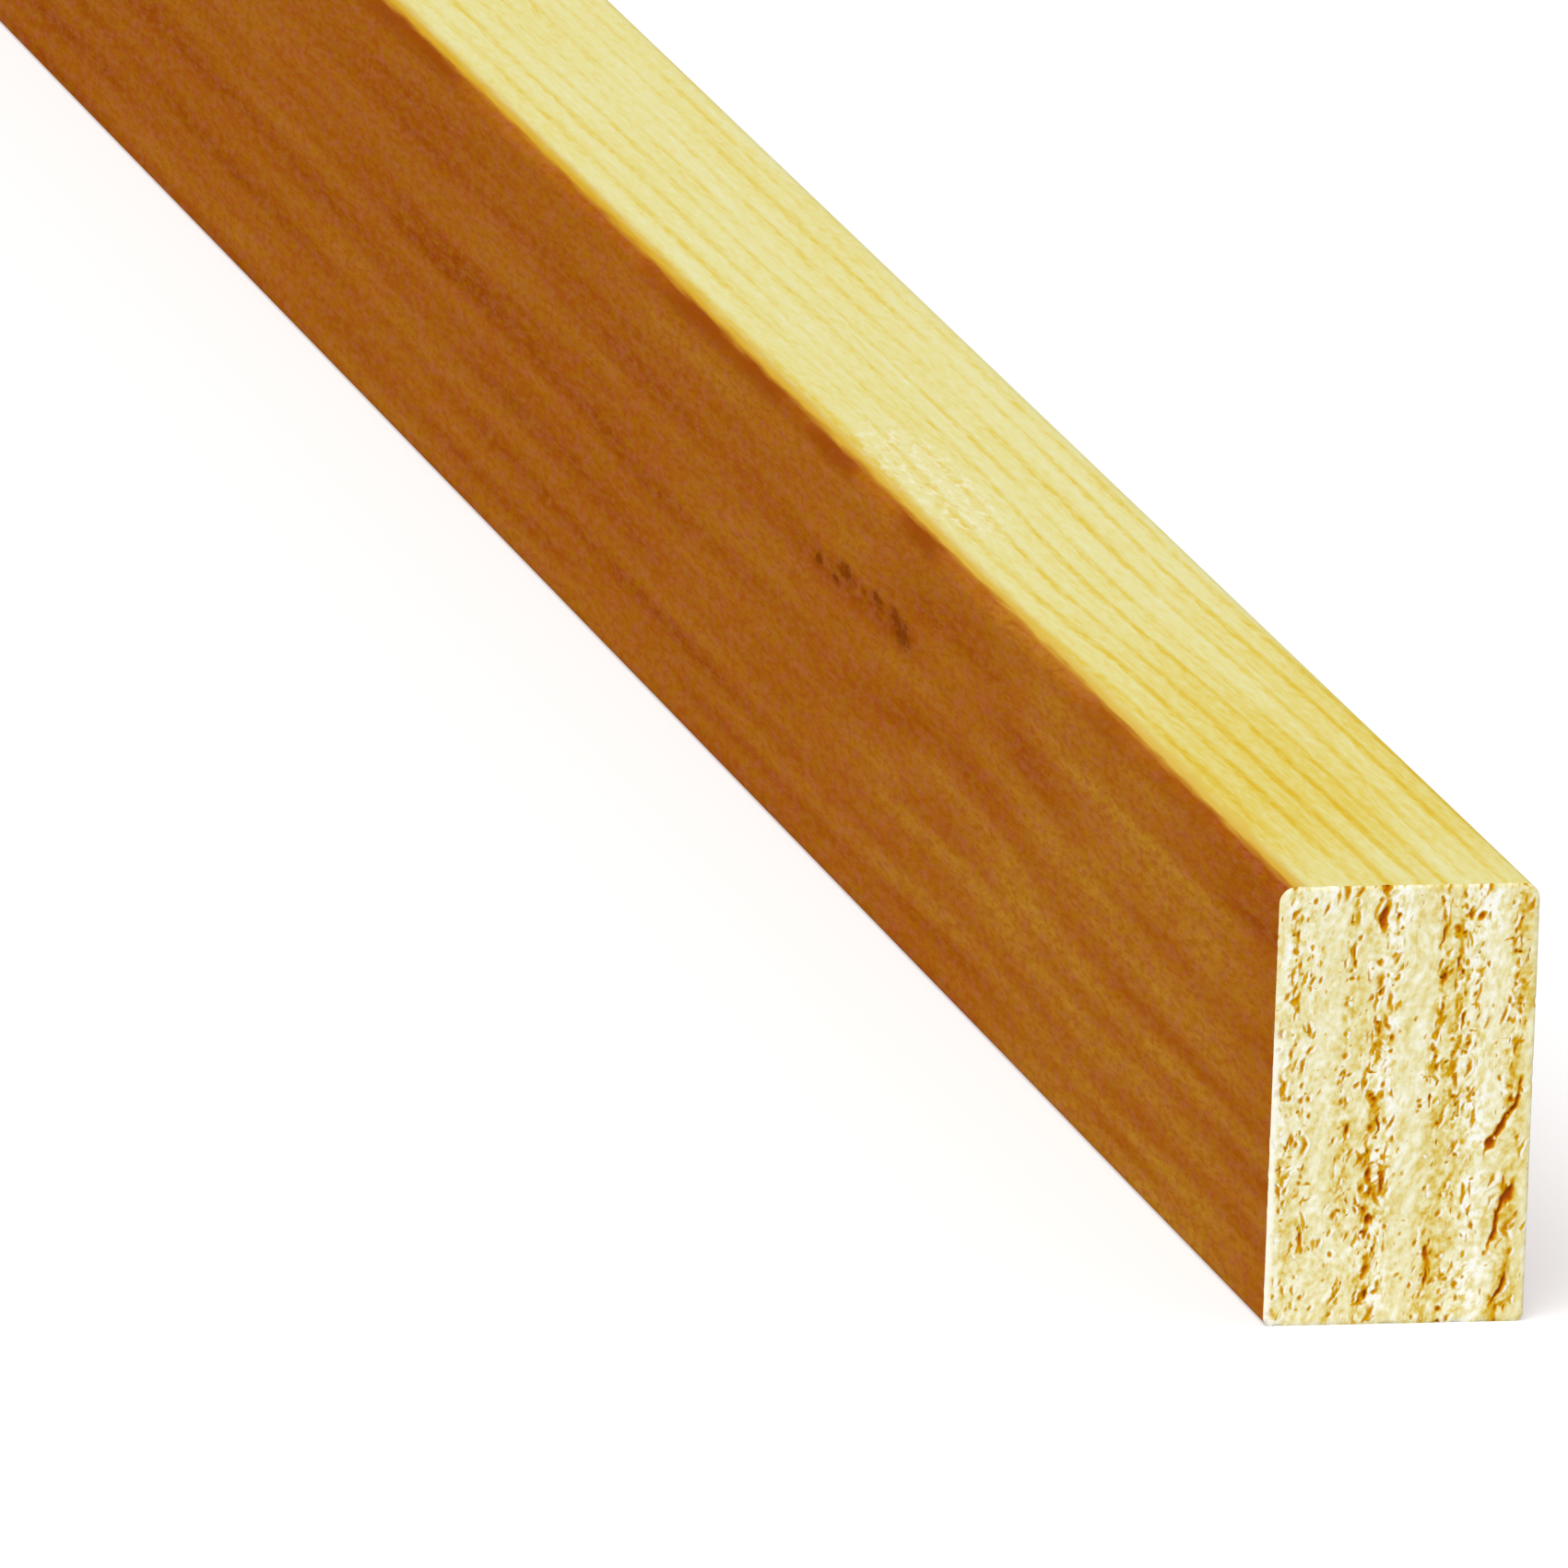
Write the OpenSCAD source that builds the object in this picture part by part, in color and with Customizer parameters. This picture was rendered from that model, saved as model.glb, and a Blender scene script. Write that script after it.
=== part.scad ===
// Dressed softwood plank: one sawn and planed length of timber, square cut at both ends.
// It lies along X on its narrow lower edge, centred over the origin, with +Z up.

/* [Section] */
// Thickness between the two broad faces, nominal 2 in stock after planing
thickness = 38; // [16:1:100]
// Depth between the two narrow edges, nominal 3 in stock after planing
depth = 64; // [19:1:300]

/* [Length] */
// Length between the two trimmed ends, an 8 ft stick
length = 2438; // [300:1:6100]

/* [Arrises] */
// Radius planed on the two arrises of the upper edge
upper_arris_r = 2.4; // [0.5:0.1:6]
// Radius left on the two arrises of the lower edge
lower_arris_r = 1.2; // [0.5:0.1:6]

/* [Hidden] */

$fn = 64;
timber_colour = [0.80, 0.61, 0.31];

// Each corner of the section: its side (left -1, right 1), the height of its edge,
// the way from that edge into the timber (up 1, down -1) and its arris radius
CORNERS = [
    [-1, 0, 1, lower_arris_r],
    [1, 0, 1, lower_arris_r],
    [1, depth, -1, upper_arris_r],
    [-1, depth, -1, upper_arris_r]
];

// Where the arris of a corner leaves the narrow edge, and where it meets the broad face
function on_edge(c) = [c[0] * (thickness / 2 - c[3]), c[1]];
function on_face(c) = [c[0] * thickness / 2, c[1] + c[2] * c[3]];
function arris_centre(c) = [on_edge(c)[0], on_face(c)[1]];

// Flat faces between the arrises, walked once round the section
FLATS = [
    on_face(CORNERS[0]), on_edge(CORNERS[0]),
    on_edge(CORNERS[1]), on_face(CORNERS[1]),
    on_face(CORNERS[2]), on_edge(CORNERS[2]),
    on_edge(CORNERS[3]), on_face(CORNERS[3])
];

// Section across the grain, with its lower edge on the X axis of the drawing
module section() {
    union() {
        polygon(FLATS);
        for (c = CORNERS)
            translate(arris_centre(c)) circle(r = c[3]);
    }
}

// The section run along X and trimmed square at both ends
module plank() {
    color(timber_colour)
        translate([-length / 2, 0, 0])
            rotate([90, 0, 90])
                linear_extrude(height = length) section();
}

plank();
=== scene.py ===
"""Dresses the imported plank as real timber: planed faces with growth rings, and torn, sawn ends."""

import math
from itertools import chain, product

import bpy
import numpy as np
from mathutils import Matrix, Vector


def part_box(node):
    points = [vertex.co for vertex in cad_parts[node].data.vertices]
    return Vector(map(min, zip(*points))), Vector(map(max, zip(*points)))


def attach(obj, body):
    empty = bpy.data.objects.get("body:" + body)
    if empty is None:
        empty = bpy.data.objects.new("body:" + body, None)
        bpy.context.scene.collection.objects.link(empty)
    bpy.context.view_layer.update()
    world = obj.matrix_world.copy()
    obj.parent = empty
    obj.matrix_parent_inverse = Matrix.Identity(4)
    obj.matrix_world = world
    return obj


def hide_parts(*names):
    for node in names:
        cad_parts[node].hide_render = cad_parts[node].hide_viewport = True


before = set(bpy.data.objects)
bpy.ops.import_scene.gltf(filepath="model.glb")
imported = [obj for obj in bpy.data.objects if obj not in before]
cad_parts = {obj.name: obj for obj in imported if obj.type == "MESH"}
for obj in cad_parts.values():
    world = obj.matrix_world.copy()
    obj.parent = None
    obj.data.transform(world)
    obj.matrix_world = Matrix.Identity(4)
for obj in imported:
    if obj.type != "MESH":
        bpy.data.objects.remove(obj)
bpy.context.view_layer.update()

MM = 0.001
CAD_LOW, CAD_HIGH = (np.array(corner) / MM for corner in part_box("plank"))

# Camera: the photograph's pixels, millimetres at the near end, degrees, and the far clip in metres
PHOTO_SIZE = 1701
NEAR_END_PIXEL = (1511.3, 1436.3)
PIXELS_PER_MM = 7.647
VIEW_DISTANCE = 5296
VIEW_AZIMUTH = 76.47
VIEW_ELEVATION = 13.25
VIEW_ROLL = 2.10
SENSOR_WIDTH = 36
CLIP_END = 100.0

# Section of the plank in millimetres, read from the frame
LENGTH = CAD_HIGH[0] - CAD_LOW[0]
HALF_LENGTH = LENGTH / 2
HALF = (CAD_HIGH[1] - CAD_LOW[1]) / 2
DEPTH = CAD_HIGH[2] - CAD_LOW[2]
TOUCH = 0.01

# Steps of the mesh at the ends and on the loops between them: across, lower arris, face, upper arris
NEAR_GRID = (152, 5, 239, 12)
FAR_GRID = (76, 3, 119, 6)
LONG_GRID = (20, 4, 32, 6)

# Loops round the plank: those behind each end's border, then a close stretch and a wide one
RIM_STEPS = (0.25, 0.6)
FIRST_STATION = 3.0
CLOSE_LENGTH = 660.0
CLOSE_STEP = 3.0
FAR_STATIONS = 62

# Map for baking, in shares of its size: margin, height of each half of the length, start of the far end
MAP_MARGIN = 0.006
MAP_BAND = 0.375
MAP_FAR_END = 0.5

# Growth rings: where the pith lies at the near end, how it falls along the plank, and the rings' widths
PITH_Y = -122.0
PITH_Z = 81.5
PITH_FALL = 0.009
FIRST_RING = 101.5
RING_GAPS = (
    4.2, 5.7, 5.0, 4.2, 4.6, 3.5, 4.2, 4.6, 3.5, 4.4,
    5.0, 4.2, 4.7, 4.0, 4.5, 4.3, 4.8, 4.4, 4.1,
)
RING_PITCH = 4.4
GRAIN_SLOPE = 0.0088

# Waves in the rings: length along the plank, length across it and height
WAVE_LONG = (300.0, 24.0, 1.0)
WAVE_SHORT = (60.0, 11.0, 0.5)

# Swirl of the rings round the knot by the front face's upper arris: its middle, reach and height
KNOT_FROM_END = 193.0
KNOT_Y = -25.0
KNOT_Z = 60.0
KNOT_REACH = (56.0, 36.0, 60.0)
KNOT_SWIRL = 3.3

# Dark blots by the knot on the front face: place from the near end, height, half length, half height
MARK_BLOTS = (
    (285.0, 45.8, 2.6, 1.2),
    (274.0, 45.2, 2.6, 0.8),
    (268.0, 47.8, 4.2, 1.5),
    (247.5, 48.4, 3.0, 0.9),
    (236.0, 48.4, 3.0, 1.2),
    (231.5, 46.7, 5.2, 2.1),
)

# Patches of deeper painted shade along the upper arrises: place from the near end, half length and
# strength
ARRIS_SHADE_PATCHES = (
    (570.0, 70.0, 1.0),
    (350.0, 85.0, 1.0),
    (284.0, 24.0, 1.0),
    (226.0, 20.0, 1.0),
    (85.0, 75.0, 0.4),
)

# Torn patch by the knot on the upper edge: place from the near end, across, half length, half width
FLECK_PATCH = (258.0, -9.6, 48.0, 8.0)

# Reach of the warm tints from the ends: of the edges, of the faces, and of the lines and the arrises
EDGE_TINT_REACH = 210.0
FACE_TINT_REACH = 320.0
WIDE_TINT_REACH = 420.0

# Share of its reach at which a tint is full, the last stretch where it fades, and what is left there
TINT_FULL = 0.2
END_FADE = 50.0
END_FADE_LEAST = 0.28

# Share of each arris in the painted brown shade of the face beside it, below 0 where the pale edge runs
# past it
FRONT_UPPER_SHADE = 0.62
BACK_UPPER_SHADE = -0.6
LOWER_SHADE = 0.5

# Bands of tears up the sawn ends: place across, half width and strength
TEAR_BANDS = (
    (-16.8, 0.8, 0.6),
    (-14.6, 0.7, 0.45),
    (-8.6, 0.8, 0.6),
    (-4.4, 1.2, 1.0),
    (-2.6, 0.7, 0.6),
    (4.5, 0.7, 0.85),
    (7.3, 1.1, 0.8),
    (9.7, 0.6, 0.5),
    (15.6, 0.9, 0.65),
)

# Bands of whitish, torn fibre beside them: place across, half width and strength
FUZZ_BANDS = (
    (-17.8, 0.8, 0.6),
    (-12.0, 1.0, 0.3),
    (-2.0, 1.5, 0.8),
    (10.9, 2.1, 1.0),
)

# Bands of golden stain up the sawn ends: place across, half width and strength
STAIN_BANDS = (
    (-16.5, 1.5, 0.5),
    (-8.5, 2.0, 0.7),
    (-4.6, 1.4, 0.7),
    (5.6, 2.4, 1.0),
    (16.4, 2.0, 1.0),
)

# Run of these bands: lean, sway and its length, noise and length of the breaks, and what is left there
BAND_LEAN = 0.03
BAND_SWAY = 1.6
BAND_SWAY_LENGTH = 9.0
BAND_BREAKS = (0.3, 0.6)
BAND_BREAK_LENGTH = 6.0
BAND_LEAST = 0.25

# Lean of the small marks and of the streaks in the sawn ends, and how far both are bent
TEXTURE_LEAN = 0.14
STREAK_LEAN = 0.27
TEXTURE_BEND = 5.0

# Small marks torn in the sawn ends: cell, least and added half width, least and added half length
DABS = ((1.6, 1.9), (0.20, 0.20), (0.30, 0.45))
STROKES = ((2.4, 4.0), (0.20, 0.25), (0.8, 1.0))
STROKE_SHIFT = 300.0
# Shift of each mark's white lips to one side: torn fibre with a painted highlight
LIP_SHIFT = 0.55

# Run of these marks: least and added slope, curl, and the least and added share of cells that have one
MARK_SLOPE = (-0.4, 0.7)
MARK_CURL = 0.5
MARK_SHARE = (0.04, 0.62)

# Slanted splits in each sawn end: upper point and lower point, across and above the floor
NEAR_SPLITS = (
    ((18.4, 36.5), (11.8, 23.0)),
    ((17.4, 21.5), (13.0, 9.0)),
    ((16.2, 8.5), (13.8, 0.5)),
)
FAR_SPLITS = (
    ((-9.0, 58.0), (-12.5, 44.0)),
    ((6.0, 24.0), (2.5, 9.0)),
)

# Shape of the splits: half width, its least and added share in beads, wobble, and how each end tapers
SPLIT_HALF_WIDTH = 0.38
SPLIT_LEAST = 0.65
SPLIT_MORE = 0.7
SPLIT_BEAD = 0.8
SPLIT_WOBBLE = 2.4
SPLIT_WOBBLE_LENGTH = 3.0
SPLIT_START = (-0.5, 2.5)
SPLIT_STOP = (-0.5, 4.0)

# Tears in the sawn ends: own seed, layers of noise, width, height, what the bands add, level to pass
HOLES = (20, 4, 1.3, 2.2, 0.33, 0.90)
STREAKS = (24, 2, 0.55, 2.2, 0.22, 0.92)
CHIPS = (30, 2, 0.75, 0.95, 0.18, 0.92)
TEAR_WARP = 1.2
TEAR_WARP_LENGTH = 2.2

# Tears along the splits: gain, level to pass, and the chips' noise at which they break off and are whole
CRACK_GAIN = 0.36
CRACK_LEVEL = 0.16
CRACK_BREAKS = (-0.81, -0.46)

# Relief of the sawn ends: tears and where they begin and are full, fibres, and the rim with its chips
TEAR_DEPTH = 0.65
TEAR_RANGE = (-0.02, 0.24)
FIBRE_SIZE = (0.6, 0.9)
FIBRE_DEPTH = 0.12
RIM_ROUND = 0.5
RIM_DROP = 0.22
RIM_CHIPS = (0.55, 0.9)
RIM_CHIP_SIZE = 1.3
RIM_CHIP_DEPTH = 0.3

# Seeds of the noise: one for all of it, then those of the bands and of the ends
SEED = 41
BAND_SEED = 80
FUZZ_SEED = 90
STAIN_SEED = 100
NEAR_SEED = 100
FAR_SEED = 200

# What is added to an end's seed for each of its other kinds of noise
FIBRE_SEED = 40
RIM_SEED = 50
SPLIT_SEED = 60
BEAD_SEED = 65
WARP_SEED = 70


def smooth(low, high, values):
    """0 below low, 1 above high and an even S between them."""
    share = np.clip((values - low) / (high - low), 0.0, 1.0)
    return share * share * (3.0 - 2.0 * share)


def noise(seed, *axes):
    """Smooth noise from 0 to 1 over any number of axes, with one lattice cell to each unit."""
    table_size = 4096
    rng = np.random.default_rng(SEED + seed)
    order = rng.permutation(table_size)
    values = rng.random(table_size)
    cells = [np.floor(axis).astype(int) for axis in axes]
    parts = [axis - cell for axis, cell in zip(axes, cells)]
    total = np.zeros(np.shape(axes[0]))
    for corner in product((0, 1), repeat=len(axes)):
        key = np.zeros(total.shape, int)
        weight = np.ones(total.shape)
        for step, cell, part in zip(corner, cells, parts):
            key = order[(key + cell + step) % table_size]
            ease = part * part * (3.0 - 2.0 * part)
            weight = weight * (ease if step else 1.0 - ease)
        total = total + weight * values[key]
    return total


def layered(seed, octaves, *axes):
    """Noise with finer and fainter layers added, from 0 to 1."""
    total = 0.0
    reach = 0.0
    for octave in range(octaves):
        share = 0.5**octave
        total = total + share * noise(seed + octave, *(axis * 2.0**octave for axis in axes))
        reach += share
    return total / reach


# Section


def arris_radius(level):
    """Radius of the two arrises at a level, from how far that edge's flat falls short of the faces."""
    points = np.array([vertex.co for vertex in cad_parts["plank"].data.vertices]) / MM
    on_edge = np.abs(points[:, 2] - level) < TOUCH
    return HALF - points[on_edge, 1].max()


LOWER_R = arris_radius(CAD_LOW[2])
UPPER_R = arris_radius(CAD_HIGH[2])
GIRTH = 4.0 * HALF + 2.0 * DEPTH - (4.0 - math.pi) * (LOWER_R + UPPER_R)


def section_grid(across, lower_steps, face_steps, upper_steps):
    """Points (y, z) over the section, as rows from the lower edge to the upper one."""
    lower = np.linspace(0.0, np.pi / 2, lower_steps + 1)
    upper = np.linspace(0.0, np.pi / 2, upper_steps + 1)
    face = np.linspace(LOWER_R, DEPTH - UPPER_R, face_steps + 1)[1:-1]
    lower_z = LOWER_R * (1.0 - np.cos(lower))
    upper_z = DEPTH - UPPER_R * (1.0 - np.sin(upper))
    lower_half = HALF - LOWER_R * (1.0 - np.sin(lower))
    upper_half = HALF - UPPER_R * (1.0 - np.cos(upper))
    heights = np.concatenate([lower_z, face, upper_z])
    halves = np.concatenate([lower_half, np.full(len(face), HALF), upper_half])
    share = np.linspace(-1.0, 1.0, across + 1)
    return np.outer(halves, share), np.outer(heights, np.ones(across + 1))


def outline(numbers):
    """The border of a grid of numbers, once round from its lower left corner."""
    return np.concatenate([numbers[0, :], numbers[1:, -1], numbers[-1, -2::-1], numbers[-2:0:-1, 0]])


def girth_of(y, z):
    """Distance round the section at each point of an outline."""
    steps = np.hypot(np.diff(y), np.diff(z))
    return np.concatenate([[0.0], np.cumsum(steps)])


def rim_distance(y, z):
    """How far a point of the end is from the section's outline."""
    radius = np.where(z > DEPTH / 2, UPPER_R, LOWER_R)
    over_y = np.abs(y) - (HALF - radius)
    over_z = np.abs(z - DEPTH / 2) - (DEPTH / 2 - radius)
    outside = np.hypot(np.maximum(over_y, 0.0), np.maximum(over_z, 0.0))
    inside = np.minimum(np.maximum(over_y, over_z), 0.0)
    return radius - outside - inside


# Timber


def pith_height(x):
    """How high the pith lies at each place along the plank."""
    return PITH_Z - PITH_FALL * (HALF_LENGTH - x)


def ring_number(x, y, z):
    """Number of the growth ring at each point: a whole number on each dark line."""
    from_end = HALF_LENGTH - x
    radius = np.hypot(y - PITH_Y, z - pith_height(x)) + GRAIN_SLOPE * from_end
    reach_x, reach_y, reach_z = KNOT_REACH
    swirl = ((from_end - KNOT_FROM_END) / reach_x) ** 2
    swirl = swirl + ((y - KNOT_Y) / reach_y) ** 2 + ((z - KNOT_Z) / reach_z) ** 2
    radius = radius + KNOT_SWIRL * np.exp(-swirl)
    for seed, (along, across, height) in enumerate((WAVE_LONG, WAVE_SHORT)):
        radius = radius + height * (noise(seed, x / along, y / across, z / across) - 0.5)
    lines = FIRST_RING + np.concatenate([[0.0], np.cumsum(RING_GAPS)])
    return np.interp(radius, lines, np.arange(len(lines)))


def along_ring(x, y, z):
    """Distance along the growth ring at each point, in millimetres."""
    middle = math.hypot(PITH_Y, DEPTH / 2 - PITH_Z)
    return middle * np.arctan2(z - pith_height(x), y - PITH_Y)


def painted_shade_turn(girth):
    """How far round the section a point lies inside a broad face's painted brown shade, and below 0
    outside both.
    """
    lower_arc = LOWER_R * math.pi / 2
    upper_arc = UPPER_R * math.pi / 2
    lower_edge = 2.0 * (HALF - LOWER_R)
    upper_edge = 2.0 * (HALF - UPPER_R)
    face = DEPTH - LOWER_R - UPPER_R
    right_start = lower_edge + lower_arc * (1.0 - LOWER_SHADE)
    right_stop = lower_edge + lower_arc + face + upper_arc * BACK_UPPER_SHADE
    left_start = lower_edge + lower_arc + face + upper_edge + upper_arc * (2.0 - FRONT_UPPER_SHADE)
    left_stop = lower_edge + 2.0 * (face + upper_arc) + upper_edge + lower_arc * (1.0 + LOWER_SHADE)
    right = np.minimum(girth - right_start, right_stop - girth)
    left = np.minimum(girth - left_start, left_stop - girth)
    return np.maximum(right, left)


def band_strength(y, z, bands, seed):
    """How much a point lies in one of the bands that show up the sawn ends, from 0 to 1."""
    sway = BAND_SWAY * (layered(BAND_SEED, 2, z / BAND_SWAY_LENGTH) - 0.5)
    across = y + sway - BAND_LEAN * (z - DEPTH / 2)
    total = np.zeros(y.shape)
    for number, (place, half_width, strength) in enumerate(bands):
        unbroken = smooth(*BAND_BREAKS, noise(seed + number, z / BAND_BREAK_LENGTH))
        fade = BAND_LEAST + (1.0 - BAND_LEAST) * unbroken
        total = np.maximum(total, strength * fade * np.exp(-(((across - place) / half_width) ** 2)))
    return total


def split_strength(y, z, splits, seed):
    """How much a point of a sawn end lies in one of its slanted splits, from 0 to 1."""
    total = np.zeros(y.shape)
    uneven = layered(seed + SPLIT_SEED, 3, y / SPLIT_WOBBLE_LENGTH, z / SPLIT_WOBBLE_LENGTH)
    wobble = SPLIT_WOBBLE * (uneven - 0.5)
    for number, ((upper_y, upper_z), (lower_y, lower_z)) in enumerate(splits):
        run = np.array([lower_y - upper_y, lower_z - upper_z])
        length = np.hypot(*run)
        along = ((y - upper_y) * run[0] + (z - upper_z) * run[1]) / length
        across = ((y - upper_y) * run[1] - (z - upper_z) * run[0]) / length + wobble
        taper = smooth(*SPLIT_START, along) * smooth(*SPLIT_STOP, length - along)
        bead = noise(seed + BEAD_SEED + number, along / SPLIT_BEAD)
        half_width = SPLIT_HALF_WIDTH * (SPLIT_LEAST + SPLIT_MORE * bead)
        total = np.maximum(total, taper * np.exp(-((across / half_width) ** 2)))
    return total


def torn_noise(across, z, bands, seed, tears):
    """How far the noise of one kind of tear passes its level, helped by the bands."""
    own_seed, octaves, width, height, gain, level = tears
    return layered(seed + own_seed, octaves, across / width, z / height) + gain * bands - level


def end_tear(y, z, splits, seed):
    """How torn a sawn end is: below 0 where it is whole, and about 0.2 or more in a deep pit."""
    uneven = layered(seed + WARP_SEED, 2, y / TEAR_WARP_LENGTH, z / TEAR_WARP_LENGTH)
    warp = TEAR_WARP * (uneven - 0.5)
    across = y - TEXTURE_LEAN * z + warp
    bands = band_strength(y, z, TEAR_BANDS, BAND_SEED)
    near_bands = np.sqrt(bands)
    holes = torn_noise(across, z, bands**2, seed, HOLES)
    streaks = torn_noise(across, z, near_bands, seed, STREAKS)
    chips = torn_noise(across, z + warp, near_bands, seed, CHIPS)
    split = split_strength(y, z, splits, seed)
    cracks = CRACK_GAIN * split * smooth(*CRACK_BREAKS, chips) - CRACK_LEVEL
    return np.maximum.reduce([holes, streaks, chips, cracks])


def end_relief(y, z, tear, seed):
    """Depth of a sawn end below its plane: tears, fibre ends and the rounded rim."""
    fibre_width, fibre_height = FIBRE_SIZE
    fibre = layered(seed + FIBRE_SEED, 2, y / fibre_width, z / fibre_height)
    rim = 1.0 - smooth(0.0, RIM_ROUND, rim_distance(y, z))
    chips = smooth(*RIM_CHIPS, noise(seed + RIM_SEED, y / RIM_CHIP_SIZE, z / RIM_CHIP_SIZE))
    torn = TEAR_DEPTH * smooth(*TEAR_RANGE, tear)
    return torn + FIBRE_DEPTH * fibre + rim * (RIM_DROP + RIM_CHIP_DEPTH * chips)


# Mesh


class Surface:
    """Points, their values and the faces of one mesh, collected part by part."""

    def __init__(self):
        self.places = []
        self.grain = []
        self.girths = []
        self.tears = []
        self.faces = []
        self.sawn = []
        self.count = 0

    def add(self, place, grain, girth, tear):
        """Adds points and returns their numbers. grain is where each point lies in the uncut timber."""
        self.places.append(place)
        self.grain.append(grain)
        self.girths.append(girth)
        self.tears.append(tear)
        numbers = np.arange(self.count, self.count + len(place))
        self.count += len(place)
        return numbers

    def cover(self, faces, sawn):
        """Adds faces, and says whether they are on a sawn end."""
        self.faces.extend(faces)
        self.sawn.extend([sawn] * len(faces))


def add_end(surface, side, grid, splits, seed):
    """Adds one sawn end at side +1 or -1. Returns its border's numbers, places and girth."""
    y, z = section_grid(*grid)
    x = np.full(y.shape, side * HALF_LENGTH)
    tear = end_tear(y, z, splits, seed)
    depth = end_relief(y, z, tear, seed)
    grain = np.stack([x.ravel(), y.ravel(), z.ravel()], 1)
    place = grain - np.outer(depth.ravel(), [side, 0.0, 0.0])
    border = outline(np.arange(y.size).reshape(y.shape))
    border_girth = girth_of(grain[border, 1], grain[border, 2])
    girth = np.zeros(y.size)
    girth[border] = border_girth
    numbers = surface.add(place, grain, girth, tear.ravel())
    table = numbers.reshape(y.shape)
    corners = [table[:-1, :-1], table[:-1, 1:], table[1:, 1:], table[1:, :-1]]
    quads = np.stack(corners, -1).reshape(-1, 4)
    surface.cover((quads if side > 0 else quads[:, ::-1]).tolist(), True)
    return numbers[border], place[border], border_girth


def add_loop(surface, place, girth):
    """Adds one loop of points round the plank and returns their numbers."""
    return surface.add(place, place, girth, np.zeros(len(place)))


def join_loops(near, far):
    """Quads between two loops with the same number of points, the first nearer the +X end."""
    return np.stack([near, far, np.roll(far, -1), np.roll(near, -1)], 1).tolist()


def zip_loops(near, near_girth, far, far_girth):
    """Triangles between two loops with different numbers of points, matched by girth."""
    faces = []
    i = 0
    j = 0
    while i < len(near) or j < len(far):
        next_near = near_girth[i + 1] if i + 1 < len(near) else np.inf
        next_far = far_girth[j + 1] if j + 1 < len(far) else np.inf
        here_near = near[i % len(near)]
        here_far = far[j % len(far)]
        advance_near = j == len(far) or (i < len(near) and next_near <= next_far)
        if advance_near:
            i += 1
            faces.append((here_near, here_far, near[i % len(near)]))
        else:
            j += 1
            faces.append((here_near, here_far, far[j % len(far)]))
    return faces


def add_rim(surface, side, end):
    """Adds the loops behind a sawn end's border, which follow its chips. Returns the last loop."""
    border, place, girth = end
    last = border
    for step in RIM_STEPS:
        loop = add_loop(surface, place - np.array([side * step, 0.0, 0.0]), girth)
        surface.cover(join_loops(last, loop) if side > 0 else join_loops(loop, last), False)
        last = loop
    return last, girth


def stations():
    """Places along the plank for its loops, closer together towards the near end."""
    close = np.arange(FIRST_STATION, CLOSE_LENGTH, CLOSE_STEP)
    far = np.linspace(CLOSE_LENGTH, LENGTH - FIRST_STATION, FAR_STATIONS)
    return HALF_LENGTH - np.concatenate([close, far])


def plank_surface():
    """The whole plank as one closed surface."""
    surface = Surface()
    near_end = add_end(surface, 1, NEAR_GRID, NEAR_SPLITS, NEAR_SEED)
    near_rim, near_girth = add_rim(surface, 1, near_end)
    far_end = add_end(surface, -1, FAR_GRID, FAR_SPLITS, FAR_SEED)
    far_rim, far_girth = add_rim(surface, -1, far_end)
    y, z = (outline(axis) for axis in section_grid(*LONG_GRID))
    girth = girth_of(y, z)
    loops = [add_loop(surface, np.stack([np.full(len(y), x), y, z], 1), girth) for x in stations()]
    surface.cover(zip_loops(near_rim, near_girth, loops[0], girth), False)
    for near, far in zip(loops, loops[1:]):
        surface.cover(join_loops(near, far), False)
    surface.cover(zip_loops(loops[-1], girth, far_rim, far_girth), False)
    return surface


def set_value(mesh, name, values):
    """Stores one number for each point of the mesh, for its materials to read."""
    attribute = mesh.attributes.new(name, "FLOAT", "POINT")
    attribute.data.foreach_set("value", np.asarray(values, np.float32))


def set_values(mesh, surface):
    """Stores all that the materials read: rings, where the broad faces' painted brown shade lies, and
    the tears and bands of the ends.
    """
    x, y, z = np.concatenate(surface.grain).T
    set_value(mesh, "ring", ring_number(x, y, z))
    set_value(mesh, "arc", along_ring(x, y, z))
    set_value(mesh, "turn", painted_shade_turn(np.concatenate(surface.girths)))
    set_value(mesh, "tear", np.concatenate(surface.tears))
    set_value(mesh, "band", band_strength(y, z, TEAR_BANDS, BAND_SEED))
    set_value(mesh, "fuzz", band_strength(y, z, FUZZ_BANDS, FUZZ_SEED))
    set_value(mesh, "stain", band_strength(y, z, STAIN_BANDS, STAIN_SEED))
    set_value(mesh, "rim", rim_distance(y, z))


def map_of_length(x, girth, near, middle):
    """Map places of points on the long faces: one band for each half of the length."""
    start = np.where(near, HALF_LENGTH, middle)
    stop = np.where(near, middle, -HALF_LENGTH)
    along = (start - x) / (start - stop)
    band = np.where(near, MAP_MARGIN, 2.0 * MAP_MARGIN + MAP_BAND)
    u = MAP_MARGIN + along * (1.0 - 2.0 * MAP_MARGIN)
    return u, band + girth / GIRTH * (MAP_BAND - MAP_MARGIN)


def map_of_ends(y, z, near):
    """Map places of points on the sawn ends, which lie beside each other above those bands."""
    scale = (1.0 - 2.0 * MAP_BAND - 4.0 * MAP_MARGIN) / (2.0 * HALF)
    u = np.where(near, MAP_MARGIN, MAP_FAR_END) + scale * z
    return u, 2.0 * MAP_BAND + 3.0 * MAP_MARGIN + scale * (HALF + np.where(near, -y, y))


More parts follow.
